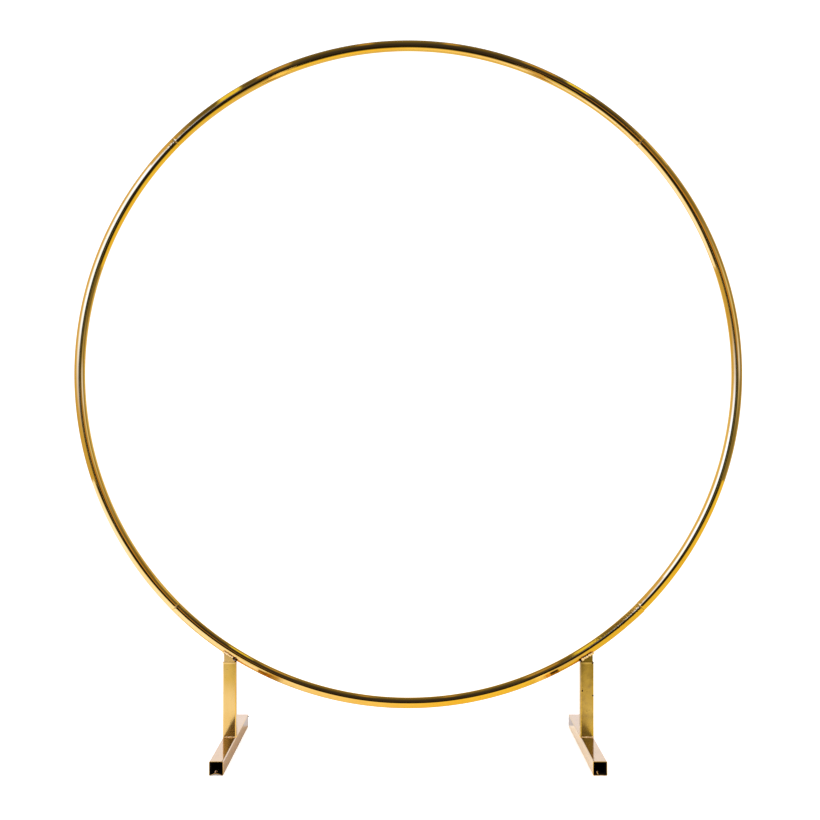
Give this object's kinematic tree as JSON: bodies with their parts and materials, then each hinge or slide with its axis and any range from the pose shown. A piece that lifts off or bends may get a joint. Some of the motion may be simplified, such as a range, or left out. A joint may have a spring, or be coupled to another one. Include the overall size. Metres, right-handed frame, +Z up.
{
  "type": "wreath frame",
  "caption": "Large free-standing round hoop of gold-finished tube in quarter arcs, on two inverted-T feet of square tube, for hanging wreaths, garlands or balloons.",
  "frame": {"origin": "on the floor, under the middle of the hoop, midway between the feet", "axes": "+X across the hoop from the left foot to the right foot, +Y front to back along the base bars, +Z up"},
  "size_m": [1.4998, 0.6, 1.5919],
  "materials": {
    "hoop_gold": "polished",
    "foot_gold": "polished",
    "weld_gold": "gloss",
    "spigot_steel": "satin"
  },
  "bodies": {
    "hoop_base": {"bottom_arc": "hoop_gold", "lower_left_spigot": "spigot_steel", "lower_right_spigot": "spigot_steel", "left_stub": "foot_gold", "right_stub": "foot_gold", "left_stub_weld": "weld_gold", "right_stub_weld": "weld_gold"},
    "left_side": {"left_arc": "hoop_gold", "upper_left_spigot": "spigot_steel"},
    "right_side": {"right_arc": "hoop_gold", "upper_right_spigot": "spigot_steel"},
    "hoop_top": {"top_arc": "hoop_gold"},
    "left_foot": {"left_upright": "foot_gold", "left_base_bar": "foot_gold", "left_foot_weld": "weld_gold"},
    "right_foot": {"right_upright": "foot_gold", "right_base_bar": "foot_gold", "right_foot_weld": "weld_gold"}
  },
  "joints": [
    {"name": "left_arc_slide", "type": "slide", "parent": "hoop_base", "child": "left_side", "axis": [-0.7071, 0, 0.7071], "range_m": [0, 0.05]},
    {"name": "right_arc_slide", "type": "slide", "parent": "hoop_base", "child": "right_side", "axis": [0.7071, 0, 0.7071], "range_m": [0, 0.05]},
    {"name": "top_arc_slide", "type": "slide", "parent": "left_side", "child": "hoop_top", "axis": [0.7071, 0, 0.7071], "range_m": [0, 0.05]},
    {"name": "left_foot_slide", "type": "slide", "parent": "hoop_base", "child": "left_foot", "axis": [0, 0, -1], "range_m": [0, 0.08]},
    {"name": "right_foot_slide", "type": "slide", "parent": "hoop_base", "child": "right_foot", "axis": [0, 0, -1], "range_m": [0, 0.08]}
  ],
  "couplings": [
    {"joint": "right_arc_slide", "follows": "left_arc_slide", "ratio": 1},
    {"joint": "top_arc_slide", "follows": "left_arc_slide", "ratio": 1}
  ]
}
